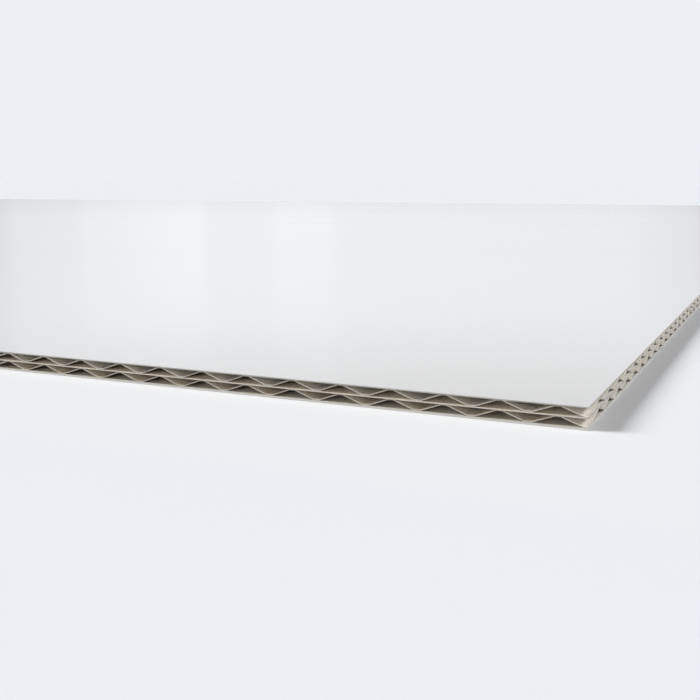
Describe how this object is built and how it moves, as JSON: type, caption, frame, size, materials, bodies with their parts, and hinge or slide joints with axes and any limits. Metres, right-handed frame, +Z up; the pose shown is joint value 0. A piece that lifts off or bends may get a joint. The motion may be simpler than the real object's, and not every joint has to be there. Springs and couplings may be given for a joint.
{
  "type": "aluminium composite panel",
  "caption": "Large flat aluminium composite panel, white on its face, with a folded core in two storeys, open at its cut edges, round a flat middle sheet",
  "frame": {"origin": "on the floor under the centre of the panel, which lies flat on its back", "axes": "+X along the length, which the zigzag of the core runs along; +Y across the width, along the folds; +Z up, out of the white face"},
  "size_m": [2.05, 1.525, 0.004],
  "materials": {
    "white_coating": "smooth satin white coil coating",
    "primed_aluminium": "matt warm grey primer on aluminium foil",
    "mill_aluminium": "plain mill finish"
  },
  "bodies": {
    "root": {"top_skin": "white_coating", "upper_folded_sheet": "primed_aluminium", "middle_sheet": "primed_aluminium", "lower_folded_sheet": "primed_aluminium", "bottom_skin": "mill_aluminium"}
  },
  "joints": []
}
